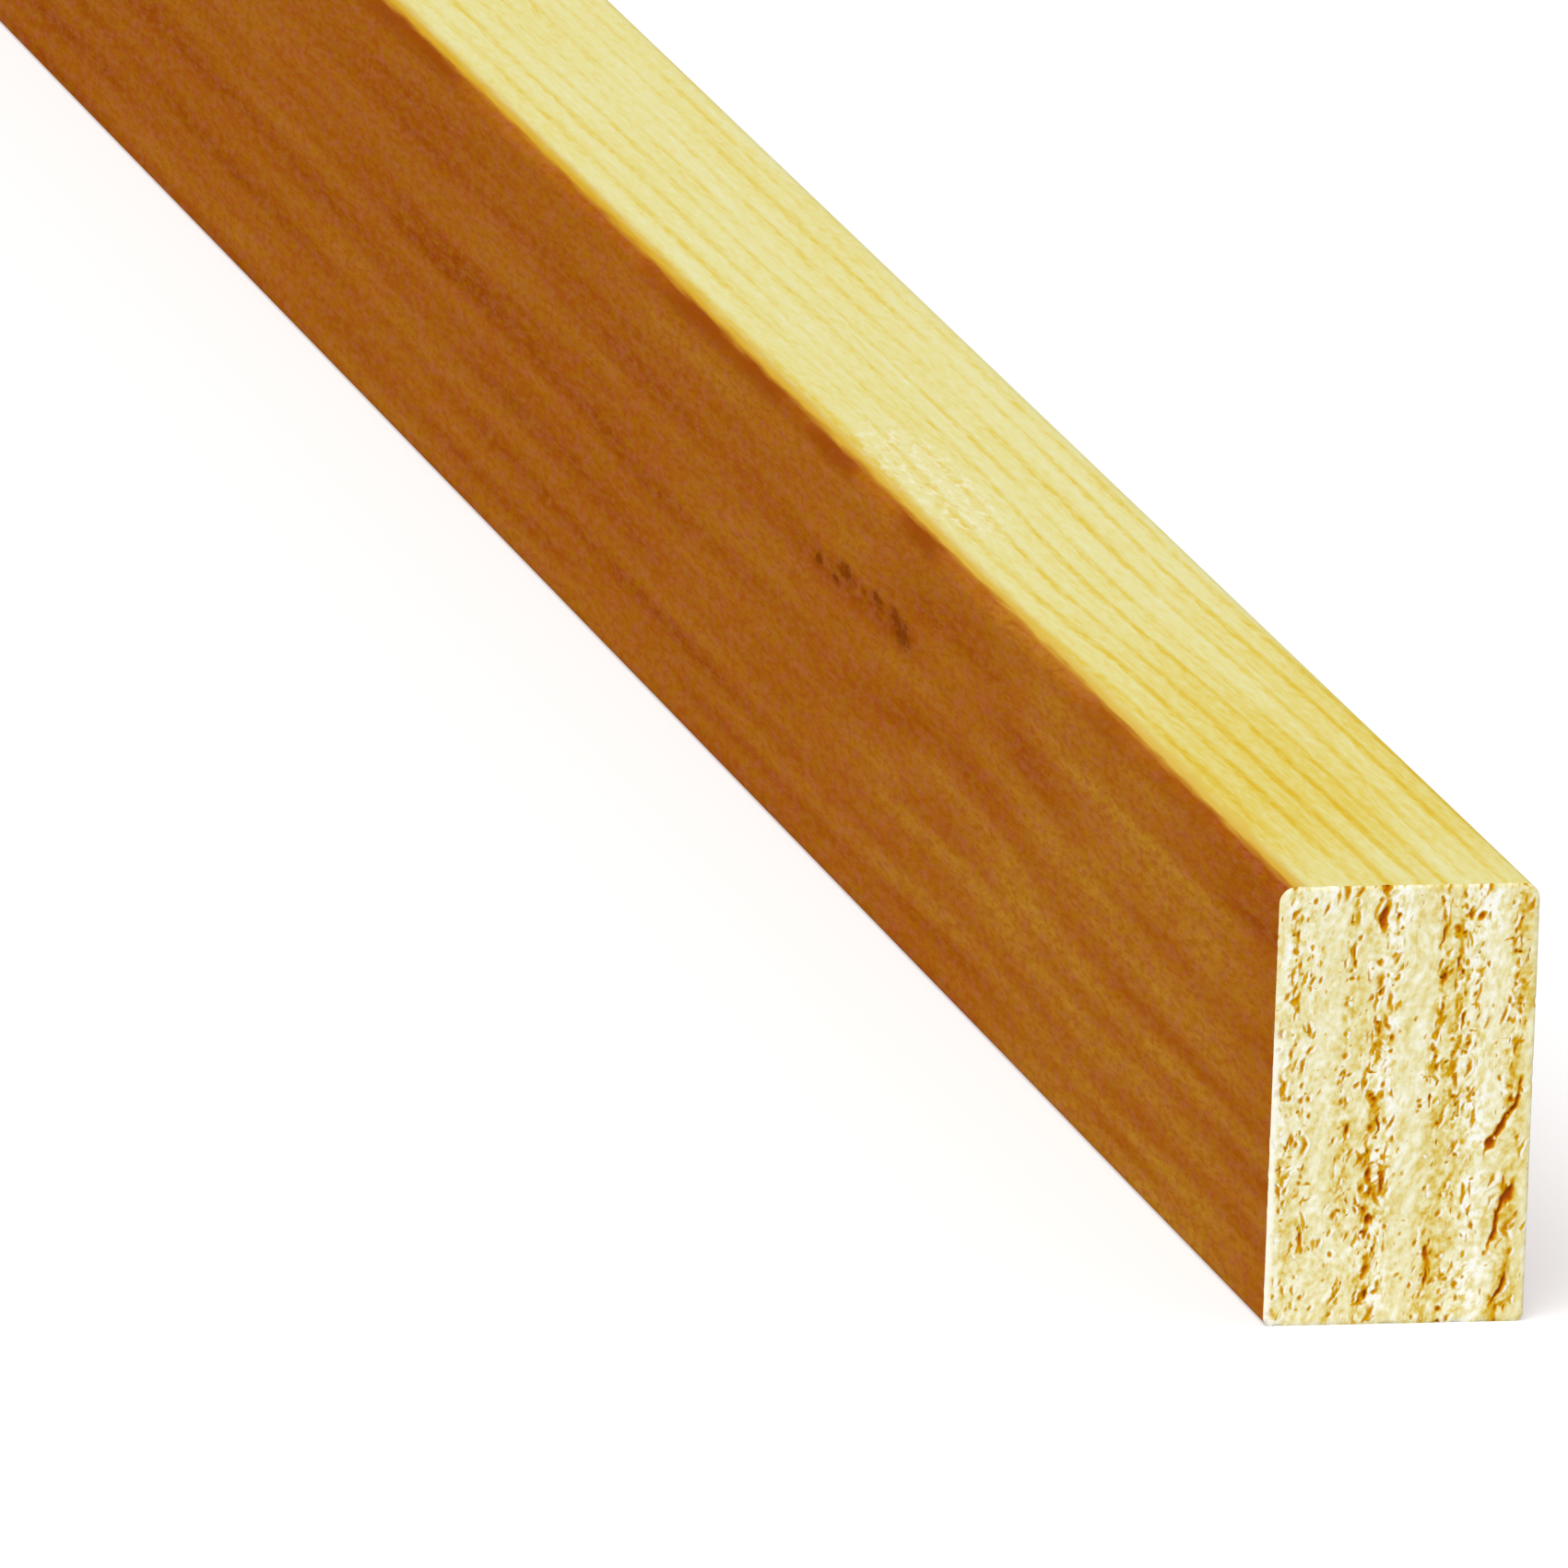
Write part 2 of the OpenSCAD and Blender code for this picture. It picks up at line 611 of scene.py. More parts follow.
def lay_flat(mesh, surface):
    """Lays the faces out for baking. Where a face closes its loop, its girth runs on past the start."""
    corners = np.fromiter(chain.from_iterable(surface.faces), int)
    sizes = np.fromiter(map(len, surface.faces), int)
    first = np.cumsum(sizes) - sizes
    x, y, z = np.concatenate(surface.places)[corners].T
    girth = np.concatenate(surface.girths)[corners]
    last_girth = np.repeat(np.maximum.reduceat(girth, first), sizes)
    girth = np.where(last_girth - girth > GIRTH / 2, girth + GIRTH, girth)
    middle = stations()[np.abs(stations()).argmin()]
    near = np.repeat(np.add.reduceat(x, first) / sizes, sizes) > middle
    sawn = np.repeat(surface.sawn, sizes)
    uv = np.where(sawn, map_of_ends(y, z, near), map_of_length(x, girth, near, middle))
    layer = mesh.uv_layers.new(name="OFBake")
    layer.data.foreach_set("uv", uv.T.ravel().astype(np.float32))


def plank_object(materials):
    """The plank's mesh object, with its values for the materials."""
    surface = plank_surface()
    mesh = bpy.data.meshes.new("timber_plank")
    mesh.from_pydata((np.concatenate(surface.places) * MM).tolist(), [], surface.faces)
    set_values(mesh, surface)
    lay_flat(mesh, surface)
    for material in materials:
        mesh.materials.append(material)
    mesh.polygons.foreach_set("material_index", np.array(surface.sawn, np.int32))
    mesh.polygons.foreach_set("use_smooth", np.ones(len(surface.faces), bool))
    mesh.update()
    plank = bpy.data.objects.new("timber_plank", mesh)
    bpy.context.scene.collection.objects.link(plank)
    return plank


# Materials


def colour(red, green, blue):
    """Linear colour of an sRGB one given from 0 to 255."""
    shares = [channel / 255.0 for channel in (red, green, blue)]
    linear = [s / 12.92 if s <= 0.04045 else ((s + 0.055) / 1.055) ** 2.4 for s in shares]
    return (*linear, 1.0)


# Colours of the pale edges, the broad faces' painted brown shade and the sawn ends from light to dark,
# each with its place
EDGE_COLOURS = (
    (0.0, colour(234, 231, 186)),
    (0.35, colour(230, 220, 148)),
    (0.65, colour(226, 203, 96)),
    (1.0, colour(221, 184, 52)),
)
PAINTED_SHADE_COLOURS = (
    (0.0, colour(197, 140, 43)),
    (0.4, colour(183, 113, 28)),
    (0.75, colour(168, 90, 15)),
    (1.0, colour(150, 70, 8)),
)
END_COLOURS = (
    (0.0, colour(252, 251, 242)),
    (0.25, colour(243, 239, 205)),
    (0.5, colour(232, 220, 160)),
    (0.75, colour(220, 192, 88)),
    (1.0, colour(204, 151, 22)),
)

# Flecks of other browns in the broad faces' painted shade: colour, greatest share and scale
FACE_FLECKS = (
    (colour(178, 84, 24), 0.30, 0.12),
    (colour(186, 108, 72), 0.50, 0.60),
    (colour(174, 114, 8), 0.58, 0.70),
    (colour(164, 74, 6), 0.45, 0.95),
)

# Lean of these flecks along the plank, and how far apart in the noise each kind lies
FLECK_LEAN = 0.10
FLECK_GAP = 500.0

# Colours of the torn patch, the arrises with the painted shade that begins on them and deepens under
# them, the knot's blots, and the marks and pits in the sawn ends
EDGE_FLECK = colour(242, 237, 200)
EDGE_DOT = colour(229, 194, 90)
ARRIS_GOLD = colour(221, 183, 78)
ARRIS_DEEP_GOLD = colour(214, 168, 44)
ARRIS_ORANGE = colour(190, 128, 40)
ARRIS_DEEP_SHADE = colour(142, 64, 6)
KNOT = colour(122, 56, 5)
# White of the marks' lips, partly a painted highlight, and of the strip by the rim
END_WHITE = colour(252, 250, 236)
END_GOLD = colour(212, 162, 8)
MARK_DARK = colour(190, 106, 5)
PIT_DARK = colour(192, 104, 6)
PIT_CORE = colour(166, 78, 12)

# Squeeze of lengths along the plank in each noise, which draws its marks out
LINE_SQUEEZE = 0.012
GRAIN_SQUEEZE = 0.03
ARRIS_SHADE_SQUEEZE = 0.05
ARRIS_SQUEEZE = 0.07
FIBRE_SQUEEZE = 0.10
DASH_SQUEEZE = 0.16
DOT_SQUEEZE = 0.25
WHITE_SQUEEZE = 0.28
FLECK_SQUEEZE = 0.30
BLOT_SQUEEZE = 0.45

# Lines of the rings, in shares of a ring: how far they fray, and how far their late wood reaches
FINE_LINE = (0.25, 0.24)
BROAD_LINE = (0.10, 0.44)

# How far apart in the noise two rings' lines lie, and the share of x that sets the two ends apart
LINE_GAP = 5.1
ENDS_APART = 0.01

# Rows of the noise that keep one kind of mark apart from another
ARRIS_SHADE_ROW = 3.0
STREAK_ROW = 5.0
BLOT_ROW = 7.0
PATCH_ROW = 9.0
HOOK_ROW = 20.0
DOT_ROW = 40.0
WHITE_ROW = 80.0


class Graph:
    """The node tree of a material or a world, built from small expressions."""

    def __init__(self, owner):
        self.owner = owner
        owner.use_nodes = True
        self.tree = owner.node_tree
        self.tree.nodes.clear()

    def node(self, kind, **settings):
        """A new node with these settings."""
        made = self.tree.nodes.new(kind)
        for key, value in settings.items():
            setattr(made, key, value)
        return made

    def feed(self, socket, value):
        """Links a socket to another one, or sets its constant."""
        if isinstance(value, bpy.types.NodeSocket):
            self.tree.links.new(value, socket)
        else:
            socket.default_value = value

    def math(self, operation, first, second=0.0):
        """Result of one operation on one or two numbers."""
        made = self.node("ShaderNodeMath", operation=operation)
        self.feed(made.inputs[0], first)
        self.feed(made.inputs[1], second)
        return made.outputs[0]

    def times(self, first, second):
        return self.math("MULTIPLY", first, second)

    def plus(self, first, second):
        return self.math("ADD", first, second)

    def centred(self, share):
        """A share from 0 to 1, moved to lie about 0."""
        return self.plus(share, -0.5)

    def length(self, first, second):
        """Length of a flat vector."""
        return self.math("SQRT", self.plus(self.times(first, first), self.times(second, second)))

    def step(self, value, low, high, start=0.0, stop=1.0):
        """An even S from start, where value is low, to stop, where it is high."""
        made = self.node("ShaderNodeMapRange", interpolation_type="SMOOTHSTEP")
        for socket, given in zip(made.inputs, (value, low, high, start, stop)):
            self.feed(socket, given)
        return made.outputs[0]

    def fall(self, value, low, high):
        """An even S from 1, where value is low, to 0, where it is high."""
        return self.step(value, low, high, 1.0, 0.0)

    def total(self, start, *terms):
        """start plus each term's weight times its value."""
        result = start
        for weight, value in terms:
            result = self.plus(result, self.times(value, weight))
        return result

    def mix(self, share, first, second):
        """A colour between two. The node has its colours at inputs 6 and 7 and output 2."""
        made = self.node("ShaderNodeMix", data_type="RGBA")
        self.feed(made.inputs[0], share)
        self.feed(made.inputs[6], first)
        self.feed(made.inputs[7], second)
        return made.outputs[2]

    def ramp(self, value, stops):
        """A colour that runs through stops, each a value and its colour."""
        made = self.node("ShaderNodeValToRGB")
        elements = made.color_ramp.elements
        for element, (at, _) in zip(elements, (stops[0], stops[-1])):
            element.position = at
        for at, _ in stops[1:-1]:
            elements.new(at)
        for element, (_, shade) in zip(elements, stops):
            element.color = shade
        self.feed(made.inputs[0], value)
        return made.outputs[0]

    def value(self, name):
        """A number stored for each point of the mesh."""
        return self.node("ShaderNodeAttribute", attribute_name=name).outputs["Fac"]

    def place(self):
        """x, y and z on the piece, in millimetres."""
        coordinates = self.node("ShaderNodeTexCoord").outputs["Object"]
        scaled = self.node("ShaderNodeVectorMath", operation="SCALE")
        self.feed(scaled.inputs[0], coordinates)
        self.feed(scaled.inputs["Scale"], 1.0 / MM)
        return self.split(scaled.outputs[0])

    def split(self, vector):
        """The three parts of a vector."""
        made = self.node("ShaderNodeSeparateXYZ")
        self.feed(made.inputs[0], vector)
        return tuple(made.outputs)

    def vector(self, *parts):
        """A vector of three parts."""
        made = self.node("ShaderNodeCombineXYZ")
        for socket, part in zip(made.inputs, parts):
            self.feed(socket, part)
        return made.outputs[0]

    def squeezed(self, x, squeeze, second, third):
        """A vector for noise that is drawn out along the plank."""
        return self.vector(self.times(x, squeeze), second, third)

    def noise(self, vector, scale, detail=2.0, roughness=0.5):
        """Noise from 0 to 1 at a vector."""
        made = self.node("ShaderNodeTexNoise")
        self.feed(made.inputs["Vector"], vector)
        made.inputs["Scale"].default_value = scale
        made.inputs["Detail"].default_value = detail
        made.inputs["Roughness"].default_value = roughness
        return made.outputs[0]

    def scatter(self, across, up, width, height):
        """Offsets from the nearest of points scattered in cells, and that point's three chances."""
        column = self.times(across, 1.0 / width)
        row = self.times(up, 1.0 / height)
        made = self.node("ShaderNodeTexVoronoi", voronoi_dimensions="2D")
        self.feed(made.inputs["Vector"], self.vector(column, row, 0.0))
        made.inputs["Scale"].default_value = 1.0
        point_column, point_row, _ = self.split(made.outputs["Position"])
        aside = self.times(self.math("SUBTRACT", column, point_column), width)
        above = self.times(self.math("SUBTRACT", row, point_row), height)
        return aside, above, self.split(made.outputs["Color"])

    def finish(self, base, roughness, height, bump_depth, specular):
        """Ends the tree in a Principled shader."""
        bump = self.node("ShaderNodeBump")
        bump.inputs["Distance"].default_value = bump_depth * MM
        self.feed(bump.inputs["Height"], height)
        shader = self.node("ShaderNodeBsdfPrincipled")
        shader.inputs["Specular IOR Level"].default_value = specular
        self.feed(shader.inputs["Base Color"], base)
        self.feed(shader.inputs["Roughness"], roughness)
        self.feed(shader.inputs["Normal"], bump.outputs[0])
        output = self.node("ShaderNodeOutputMaterial")
        self.feed(output.inputs["Surface"], shader.outputs[0])
        return self.owner


def late_wood(graph, ring, fibre, line):
    """Share of dark late wood: 1 on each ring's frayed line, falling to 0 beside it."""
    fray, reach = line
    frayed = graph.total(ring, (fray, graph.centred(fibre)))
    phase = graph.math("FRACT", graph.plus(frayed, 0.5))
    off_line = graph.math("ABSOLUTE", graph.centred(phase))
    return graph.fall(off_line, 0.0, reach)


def line_strength(graph, x, ring):
    """How strong each ring's line is along its length."""
    own_row = graph.times(graph.math("ROUND", ring), LINE_GAP)
    slow = graph.noise(graph.squeezed(x, LINE_SQUEEZE, own_row, 0.0), 1.0, detail=3.0)
    return graph.step(slow, 0.25, 0.65, 0.3, 1.0)


def line_dashes(graph, x, across, arc):
    """Breaks along the rings' lines: 1 in a dash, and less between two of them."""
    place = graph.squeezed(x, DASH_SQUEEZE, graph.times(across, 0.9), graph.times(arc, 0.4))
    return graph.step(graph.noise(place, 1.0, detail=3.0), 0.34, 0.58, 0.45, 1.0)


def end_warmth(graph, x, reach):
    """Rises from 0 at reach from both ends of the plank to 1, and fades over the last stretch."""
    from_middle = graph.math("ABSOLUTE", x)
    rise = graph.step(from_middle, HALF_LENGTH - reach, HALF_LENGTH - TINT_FULL * reach)
    fade = graph.step(from_middle, HALF_LENGTH - END_FADE, HALF_LENGTH, 1.0, END_FADE_LEAST)
    return graph.times(rise, fade)


def beyond(graph, x, from_end):
    """How far a point lies from a place that is given from the near end."""
    return graph.plus(x, from_end - HALF_LENGTH)


def fleck_patch(graph, x, y, z):
    """1 in the middle of the torn patch by the knot on the upper edge, falling to 0 round it."""
    from_end, across, half_length, half_width = FLECK_PATCH
    along = graph.times(beyond(graph, x, from_end), 1.0 / half_length)
    aside = graph.times(graph.plus(y, -across), 1.0 / half_width)
    reach = graph.plus(graph.times(along, along), graph.times(aside, aside))
    upper = graph.step(z, DEPTH - UPPER_R, DEPTH - 0.5 * UPPER_R)
    return graph.times(graph.fall(reach, 0.2, 1.2), upper)


def torn_edge(graph, x, y, z, base):
    """The narrow edges' colour with golden dots and whitish flecks in the torn patch."""
    torn = fleck_patch(graph, x, y, z)
    dots = graph.noise(graph.squeezed(x, DOT_SQUEEZE, y, DOT_ROW), 0.8)
    white = graph.noise(graph.squeezed(x, WHITE_SQUEEZE, y, WHITE_ROW), 0.8, detail=3.0)
    base = graph.mix(graph.times(torn, graph.step(dots, 0.54, 0.72, 0.0, 0.8)), base, EDGE_DOT)
    return graph.mix(graph.times(torn, graph.step(white, 0.48, 0.70, 0.05, 0.9)), base, EDGE_FLECK)


def pale_edge(graph, x, y, z, grain, late, fibre):
    """Colour of the narrow edges: pale sapwood with golden lines, and torn flecks by the knot."""
    streak = graph.noise(grain, 0.42, detail=3.0)
    patch = graph.step(graph.noise(grain, 0.12), 0.25, 0.55, 0.2, 1.0)
    warm = graph.times(end_warmth(graph, x, EDGE_TINT_REACH), patch)
    line = graph.times(late, graph.total(0.55, (0.45, end_warmth(graph, x, WIDE_TINT_REACH))))
    speck = graph.noise(graph.squeezed(x, FLECK_SQUEEZE, y, z), 1.1)
    depth = graph.total(-0.47, (0.46, line), (0.66, fibre), (0.55, streak), (0.29, warm), (0.34, speck))
    return torn_edge(graph, x, y, z, graph.ramp(depth, EDGE_COLOURS))


def painted_shade_face(graph, x, z, grain, late, broad_late, fibre):
    """Colour of the broad faces: a painted brown shade, with ochre patches, reddish ring lines and a
    soft darker band of late wood beside them.
    """
    streak = graph.noise(grain, 0.20, detail=3.0)
    # Less ochre high on the face, a deeper painted shade under the upper arris
    low = graph.step(z, 0.65 * DEPTH, 0.85 * DEPTH, 1.0, 0.66)
    tint = graph.times(end_warmth(graph, x, FACE_TINT_REACH), low)
    ochre = graph.times(tint, graph.noise(grain, 0.12))
    clear = graph.total(0.75, (0.25, end_warmth(graph, x, WIDE_TINT_REACH)))
    lines = graph.times(graph.total(0.0, (0.05, late), (0.42, broad_late)), clear)
    depth = graph.total(-0.305, (1.0, lines), (0.38, fibre), (1.22, streak), (-0.74, ochre))
    return graph.ramp(depth, PAINTED_SHADE_COLOURS)


def face_speckle(graph, x, across, arc, base):
    """The broad faces' colour with small flecks of other browns in it."""
    leaning = graph.total(arc, (-FLECK_LEAN, x))
    for number, (shade, most, scale) in enumerate(FACE_FLECKS):
        along = graph.plus(graph.times(x, FLECK_SQUEEZE), FLECK_GAP * number)
        fleck = graph.noise(graph.vector(along, across, leaning), scale, detail=4.0, roughness=0.65)
        base = graph.mix(graph.step(fleck, 0.42, 0.66, 0.0, most), base, shade)
    return base


def knot_mark(graph, x, y, z):
    """Share of the dark, ragged blots by the knot on the front face, with a faint stain round them."""
    place = graph.squeezed(x, BLOT_SQUEEZE, BLOT_ROW, graph.times(z, 1.1))
    ragged = graph.noise(place, 1.0, detail=3.0)
    mark = 0.0
    for from_end, height, half_length, half_height in MARK_BLOTS:
        along = graph.times(beyond(graph, x, from_end), 1.0 / half_length)
        above = graph.times(graph.plus(z, -height), 1.0 / half_height)
        here = graph.fall(graph.length(along, above), 0.0, 2.2)
        mark = graph.math("MAXIMUM", mark, here)
    torn = graph.total(mark, (1.3, graph.centred(ragged)))
    blots = graph.step(torn, 0.36, 0.96, 0.0, 0.8)
    stain = graph.times(mark, 0.3)
    front = graph.fall(y, -HALF + 1.0, -HALF + 3.0)
    return graph.times(graph.math("MAXIMUM", blots, stain), front)


def arris_shade(graph, x, z):
    """How strong the deeper painted shade is along the upper arrises: uneven, and strongest in its
    patches.
    """
    uneven = graph.noise(graph.squeezed(x, ARRIS_SHADE_SQUEEZE, ARRIS_SHADE_ROW, 0.0), 1.0, detail=3.0)
    shade_patches = 0.0
    for from_end, half_length, strength in ARRIS_SHADE_PATCHES:
        along = graph.math("ABSOLUTE", beyond(graph, x, from_end))
        here = graph.step(along, 0.2 * half_length, half_length, strength, 0.0)
        shade_patches = graph.math("MAXIMUM", shade_patches, here)
    share = graph.step(graph.total(-0.1, (0.6, shade_patches), (0.8, uneven)), 0.25, 0.95, 0.1, 0.8)
    return graph.times(share, graph.step(z, 0.5 * DEPTH, 0.7 * DEPTH))


def over_arris(graph, x, y, z, pale, brown):
    """Colour from a pale edge, through gold and orange on the arris where the painted shade begins, to
    the broad face's painted brown shade.
    """
    wobble = graph.noise(graph.squeezed(x, ARRIS_SQUEEZE, y, z), 1.0, detail=4.0)
    turn = graph.total(graph.value("turn"), (1.7, graph.centred(wobble)))
    gold = graph.mix(end_warmth(graph, x, WIDE_TINT_REACH), ARRIS_DEEP_GOLD, ARRIS_GOLD)
    # Gold and orange: the soft edge of the broad face's painted shade over the arris
    base = graph.mix(graph.step(turn, -4.3, -1.3), pale, gold)
    base = graph.mix(graph.step(turn, -1.5, -0.7), base, ARRIS_ORANGE)
    # Deeper painted shade just under the upper arris, in patches
    deep_shade = graph.times(arris_shade(graph, x, z), graph.fall(turn, 0.3, 3.8))
    shaded_arris = graph.mix(deep_shade, brown, ARRIS_DEEP_SHADE)
    return graph.mix(graph.step(turn, -0.9, -0.1), base, shaded_arris)


def planed_material():
    """Planed timber: pale narrow edges, broad faces in a painted brown shade, growth rings and fine
    fibre.
    """
    graph = Graph(bpy.data.materials.new("planed_timber"))
    x, y, z = graph.place()
    ring = graph.value("ring")
    arc = graph.value("arc")
    across = graph.times(ring, RING_PITCH)
    grain = graph.squeezed(x, GRAIN_SQUEEZE, across, arc)
    fibre = graph.noise(graph.squeezed(x, FIBRE_SQUEEZE, across, arc), 1.8, detail=4.0, roughness=0.6)
    strength = line_strength(graph, x, ring)
    late = graph.times(late_wood(graph, ring, fibre, FINE_LINE), strength)
    broad_late = graph.times(late_wood(graph, ring, fibre, BROAD_LINE), strength)
    dashed = graph.times(late, line_dashes(graph, x, across, arc))
    pale = pale_edge(graph, x, y, z, grain, dashed, fibre)
    brown = painted_shade_face(graph, x, z, grain, late, broad_late, fibre)
    brown = face_speckle(graph, x, across, arc, brown)
    brown = graph.mix(knot_mark(graph, x, y, z), brown, KNOT)
    base = over_arris(graph, x, y, z, pale, brown)
    roughness = graph.total(0.78, (-0.08, late), (0.12, fibre))
    height = graph.total(0.0, (0.5, late), (1.0, fibre))
    return graph.finish(base, roughness, height, bump_depth=0.08, specular=0.0)


def torn_marks(graph, across, z, marks, share):
    """Shares of the golden rim and the dark core of small, curled marks in an end, and of the white lips
    beside them, torn fibre with a painted highlight.
    """
    cell, (least_width, more_width), (least_length, more_length) = marks
    aside, above, (chance, lean, size) = graph.scatter(across, z, *cell)
    present = graph.step(graph.math("SUBTRACT", share, chance), -0.01, 0.01)
    # A chance times a whole number leaves a fraction that serves as one more chance
    curl = graph.centred(graph.math("FRACT", graph.times(lean, 7.0)))
    long = graph.math("FRACT", graph.times(size, 5.0))
    least_slope, more_slope = MARK_SLOPE
    slope = graph.total(least_slope, (more_slope, lean))
    bent = graph.total(aside, (slope, above), (curl, graph.times(above, graph.times(above, MARK_CURL))))
    half_width = graph.total(least_width, (more_width, size))
    half_length = graph.total(least_length, (more_length, long))
    along = graph.math("DIVIDE", above, half_length)
    reach = graph.length(graph.math("DIVIDE", bent, half_width), along)
    lip_reach = graph.length(graph.math("DIVIDE", graph.plus(bent, -LIP_SHIFT), half_width), along)
    rim = graph.times(present, graph.fall(reach, 0.6, 1.4))
    deep = graph.times(present, graph.step(size, 0.2, 0.6))
    core = graph.times(deep, graph.fall(reach, 0.1, 0.9))
    lip_and_highlight = graph.times(present, graph.fall(lip_reach, 0.6, 1.5))
    return rim, core, lip_and_highlight


def end_places(graph, y, z, end):
    """Places across a sawn end that lean and bend: for its small marks, and for its streaks."""
    bend = graph.centred(graph.noise(graph.vector(y, z, end), 0.08, detail=1.0))
    across = graph.total(y, (-TEXTURE_LEAN, z), (TEXTURE_BEND, bend))
    slanted = graph.total(y, (-STREAK_LEAN, z), (TEXTURE_BEND, bend))
    return across, slanted


def end_ground(graph, across, slanted, z, end, fine, torn):
    """Colour of the whole end grain: cream, with golden streaks and bands and whitish fibre."""
    streak_place = graph.vector(slanted, graph.times(z, 0.22), graph.plus(end, STREAK_ROW))
    patch_place = graph.vector(across, graph.times(z, 0.4), graph.plus(end, PATCH_ROW))
    streak = graph.noise(streak_place, 0.7, detail=3.0)
    patch = graph.noise(patch_place, 0.17)
    mottle = graph.times(graph.centred(fine), graph.total(0.65, (0.9, torn)))
    white = graph.times(graph.value("fuzz"), graph.fall(fine, 0.40, 0.62))
    stain = graph.value("stain")
    depth = graph.total(-0.22, (1.4, mottle), (0.8, streak), (0.4, patch), (0.24, stain), (-0.3, white))
    return graph.ramp(depth, END_COLOURS)


def end_marks(graph, across, y, z, end, torn):
    """Shares of the rims, the cores and the white lips, torn fibre with a painted highlight, of all the
    small marks in a sawn end.
    """
    hook = graph.centred(graph.noise(graph.vector(y, z, graph.plus(end, HOOK_ROW)), 1.0))
    hooked = graph.total(across, (0.8, hook), (7.0, end))
    least_share, more_share = MARK_SHARE
    share = graph.total(least_share, (more_share, torn))
    dabs = torn_marks(graph, hooked, z, DABS, share)
    strokes = torn_marks(graph, graph.plus(hooked, STROKE_SHIFT), z, STROKES, share)
    return [graph.math("MAXIMUM", *pair) for pair in zip(dabs, strokes)]


def pitted(graph, base):
    """A sawn end's colour with its pits: golden round them, dark inside and darkest in the core."""
    tear = graph.value("tear")
    base = graph.mix(graph.step(tear, -0.12, -0.01), base, END_GOLD)
    base = graph.mix(graph.step(tear, -0.03, 0.09), base, PIT_DARK)
    return graph.mix(graph.step(tear, 0.06, 0.18), base, PIT_CORE)


def white_strip(graph, y, z):
    """Share of a whitish strip up the lower part of a sawn end's rim by the front face."""
    front = graph.fall(y, -HALF + 2.0, -HALF + 3.0)
    low = graph.fall(z, 0.62 * DEPTH, 0.72 * DEPTH)
    by_rim = graph.step(graph.value("rim"), 0.5, 1.2, 0.8, 0.0)
    return graph.times(by_rim, graph.times(front, low))


def sawn_material():
    """Sawn end grain: cream, with torn marks that have golden rims, dark cores and white lips of torn
    fibre with a painted highlight.
    """
    graph = Graph(bpy.data.materials.new("sawn_timber"))
    x, y, z = graph.place()
    end = graph.times(x, ENDS_APART)
    across, slanted = end_places(graph, y, z, end)
    fine = graph.noise(graph.vector(across, graph.times(z, 0.7), end), 1.2, detail=3.0)
    torn = graph.math("POWER", graph.value("band"), 0.4)
    base = end_ground(graph, across, slanted, z, end, fine, torn)
    rim, core, lip_and_highlight = end_marks(graph, across, y, z, end, torn)
    # White lips beside the marks: torn fibre with a painted highlight
    base = graph.mix(graph.times(lip_and_highlight, 0.8), base, END_WHITE)
    base = graph.mix(rim, base, END_GOLD)
    base = graph.mix(graph.times(core, 0.8), base, MARK_DARK)
    base = pitted(graph, base)
    base = graph.mix(white_strip(graph, y, z), base, END_WHITE)
    height = graph.total(0.0, (0.5, fine), (0.6, lip_and_highlight), (-0.6, rim), (-0.5, core))
    roughness = graph.total(0.80, (0.1, fine))
    return graph.finish(base, roughness, height, bump_depth=0.10, specular=0.02)


# Stage

# Floor: reach in metres, grey for the light it returns, grey where it is seen, and the glow added there
FLOOR_REACH = 40.0
FLOOR_GREY = (0.8, 0.8, 0.8, 1.0)
FLOOR_SEEN = (0.6, 0.6, 0.6, 1.0)
FLOOR_LIFT = 0.45

# Light on a white surface from the world and from the lamp, and the lamp's direction and spread
WORLD_LEVEL = 0.60
KEY_LEVEL = 0.68
KEY_TOWARDS = (0.50, -0.30, 0.81)
KEY_SPREAD = 40.0


def background_seen(graph):
    """1 for rays that show the background, straight, mirrored or through glass, and 0 for the rest."""
    path = graph.node("ShaderNodeLightPath")
    seen = graph.math("MAXIMUM", path.outputs["Is Camera Ray"], path.outputs["Is Glossy Ray"])
    return graph.math("MAXIMUM", seen, path.outputs["Is Transmission Ray"])


def floor_material():
    """White floor: grey enough to keep the plank's shadow, and lifted to white where it is seen."""
    graph = Graph(bpy.data.materials.new("floor_white"))
    seen = background_seen(graph)
    shader = graph.node("ShaderNodeBsdfDiffuse")
    graph.feed(shader.inputs["Color"], graph.mix(seen, FLOOR_GREY, FLOOR_SEEN))
    lift = graph.node("ShaderNodeEmission")
    graph.feed(lift.inputs["Strength"], graph.times(seen, FLOOR_LIFT))
    both = graph.node("ShaderNodeAddShader")
    graph.feed(both.inputs[0], shader.outputs[0])
    graph.feed(both.inputs[1], lift.outputs[0])
    output = graph.node("ShaderNodeOutputMaterial")
    graph.feed(output.inputs["Surface"], both.outputs[0])
    return graph.owner


def stage_floor():
    """A wide, level floor under the plank."""
    near = -FLOOR_REACH
    far = FLOOR_REACH
    corners = [(near, near, 0.0), (far, near, 0.0), (far, far, 0.0), (near, far, 0.0)]
    mesh = bpy.data.meshes.new("floor")
    mesh.from_pydata(corners, [], [(0, 1, 2, 3)])
    mesh.materials.append(floor_material())
    floor = bpy.data.objects.new("floor", mesh)
    bpy.context.scene.collection.objects.link(floor)


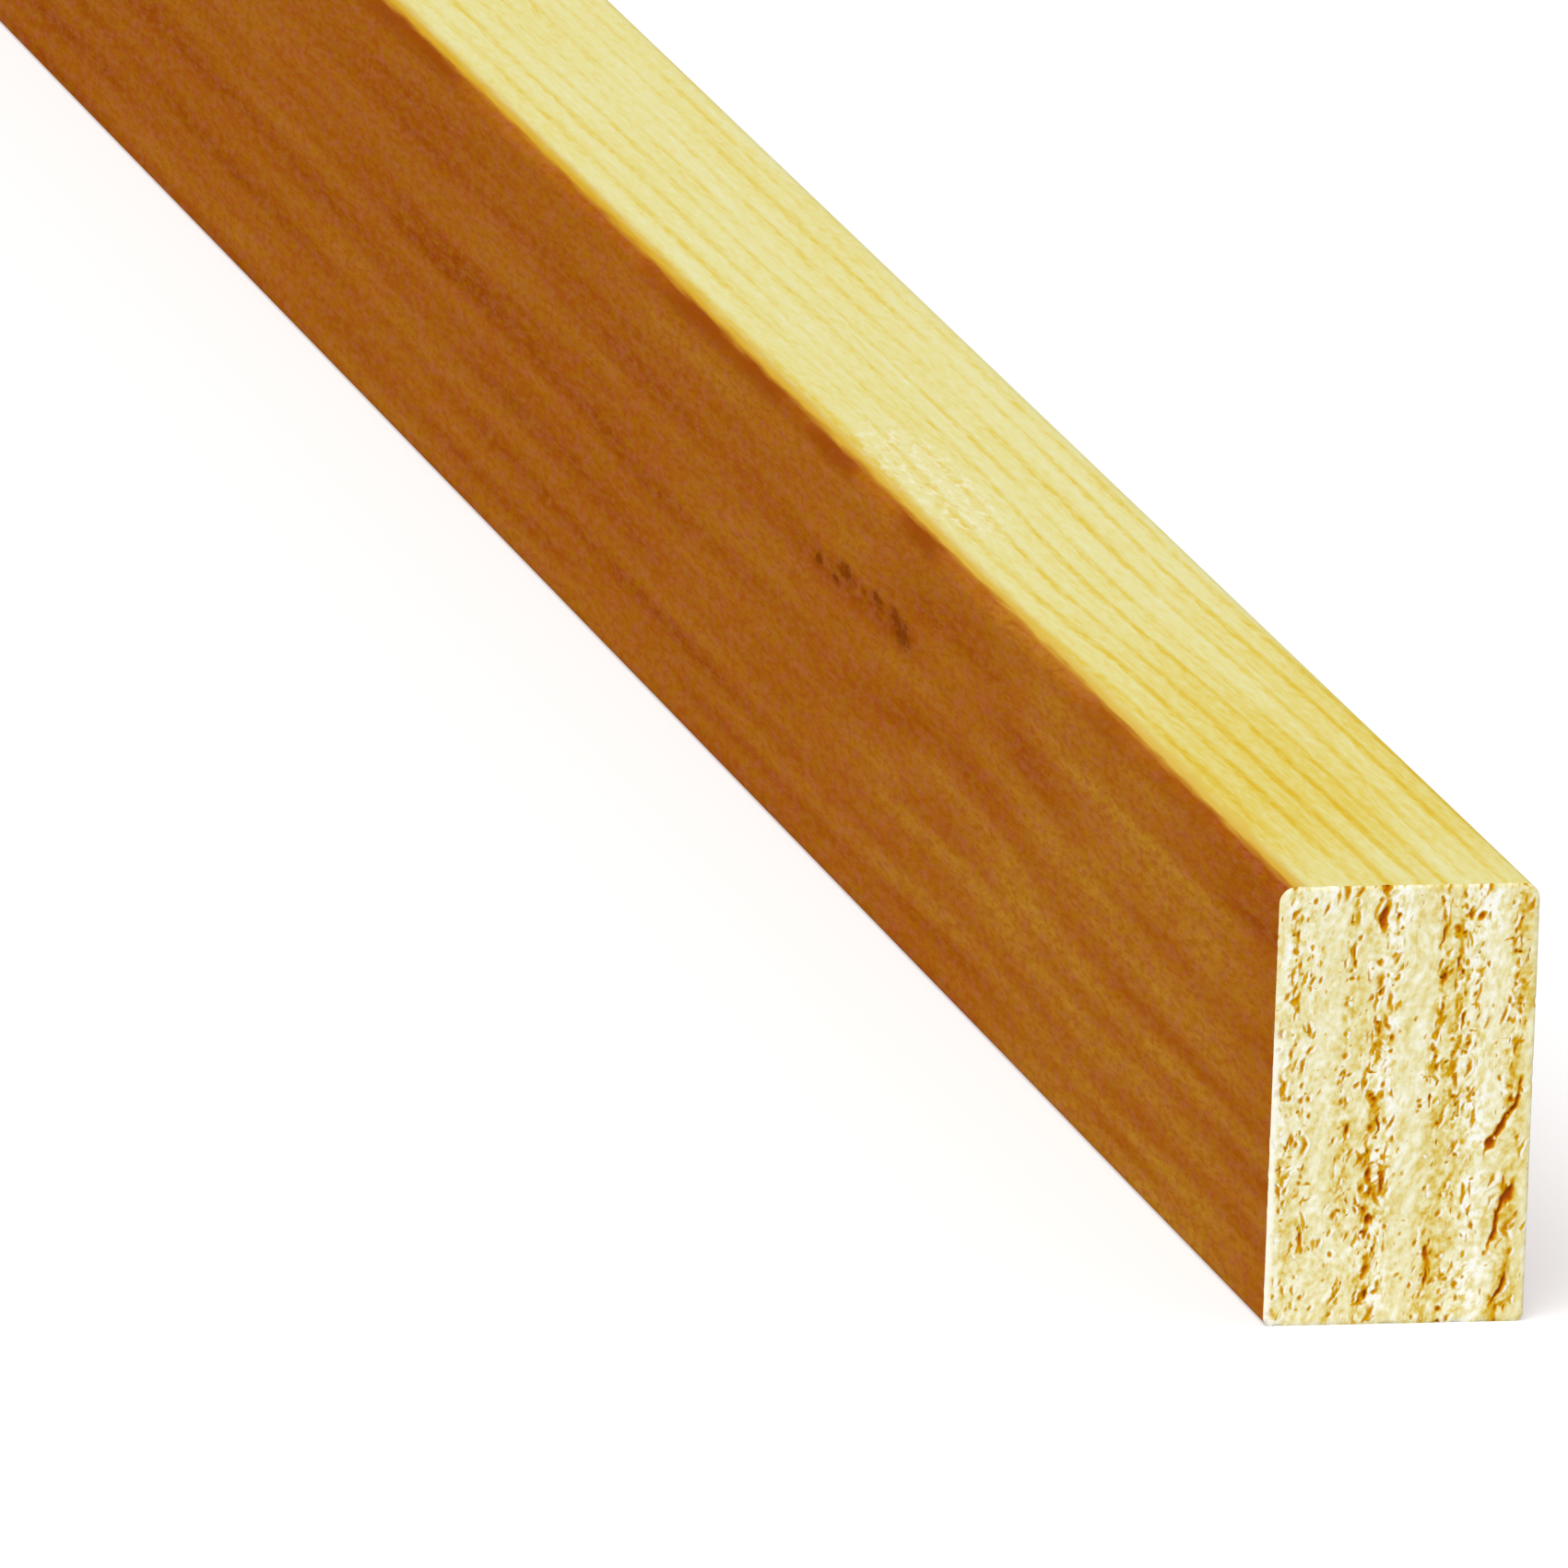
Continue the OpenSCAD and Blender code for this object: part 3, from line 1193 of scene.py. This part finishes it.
def soft_world():
    """Even white light from all round, and plain white where it is seen past the floor."""
    world = bpy.data.worlds.new("studio")
    bpy.context.scene.world = world
    graph = Graph(world)
    background = graph.node("ShaderNodeBackground")
    level = graph.total(WORLD_LEVEL, (1.0 - WORLD_LEVEL, background_seen(graph)))
    graph.feed(background.inputs["Strength"], level)
    output = graph.node("ShaderNodeOutputWorld")
    graph.feed(output.inputs["Surface"], background.outputs[0])


def key_light():
    """One broad, soft lamp in front of the plank, above it and a little to its left."""
    towards = Vector(KEY_TOWARDS)
    lamp = bpy.data.lights.new("key", "SUN")
    lamp.energy = KEY_LEVEL * math.pi
    lamp.angle = math.radians(KEY_SPREAD)
    key = bpy.data.objects.new("key", lamp)
    key.rotation_euler = towards.to_track_quat("Z", "Y").to_euler()
    bpy.context.scene.collection.objects.link(key)


def photo_camera():
    """A camera that puts the near end's lower edge on its pixel, at the photograph's angle."""
    azimuth = math.radians(VIEW_AZIMUTH)
    elevation = math.radians(VIEW_ELEVATION)
    level = math.cos(elevation)
    back = Vector((math.sin(azimuth) * level, -math.cos(azimuth) * level, math.sin(elevation)))
    turned = Matrix.Rotation(math.radians(VIEW_ROLL), 3, back)
    right = turned @ Vector((0.0, 0.0, 1.0)).cross(back).normalized()
    up = back.cross(right)
    middle = PHOTO_SIZE / 2
    shift_right = (NEAR_END_PIXEL[0] - middle) / PIXELS_PER_MM
    shift_down = (NEAR_END_PIXEL[1] - middle) / PIXELS_PER_MM
    target = Vector((HALF_LENGTH, 0.0, 0.0))
    place = target + back * VIEW_DISTANCE - right * shift_right + up * shift_down
    data = bpy.data.cameras.new("photo_camera")
    data.sensor_width = SENSOR_WIDTH
    data.lens = SENSOR_WIDTH * PIXELS_PER_MM * VIEW_DISTANCE / PHOTO_SIZE
    data.clip_end = CLIP_END
    camera = bpy.data.objects.new("photo_camera", data)
    axes = Matrix((right, up, back)).transposed()
    camera.matrix_world = Matrix.Translation(place * MM) @ axes.to_4x4()
    bpy.context.scene.collection.objects.link(camera)
    bpy.context.scene.camera = camera


bpy.context.scene.view_settings.view_transform = "Standard"
photo_camera()
stage_floor()
soft_world()
key_light()
plank = plank_object([planed_material(), sawn_material()])
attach(plank, "root")
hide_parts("plank")
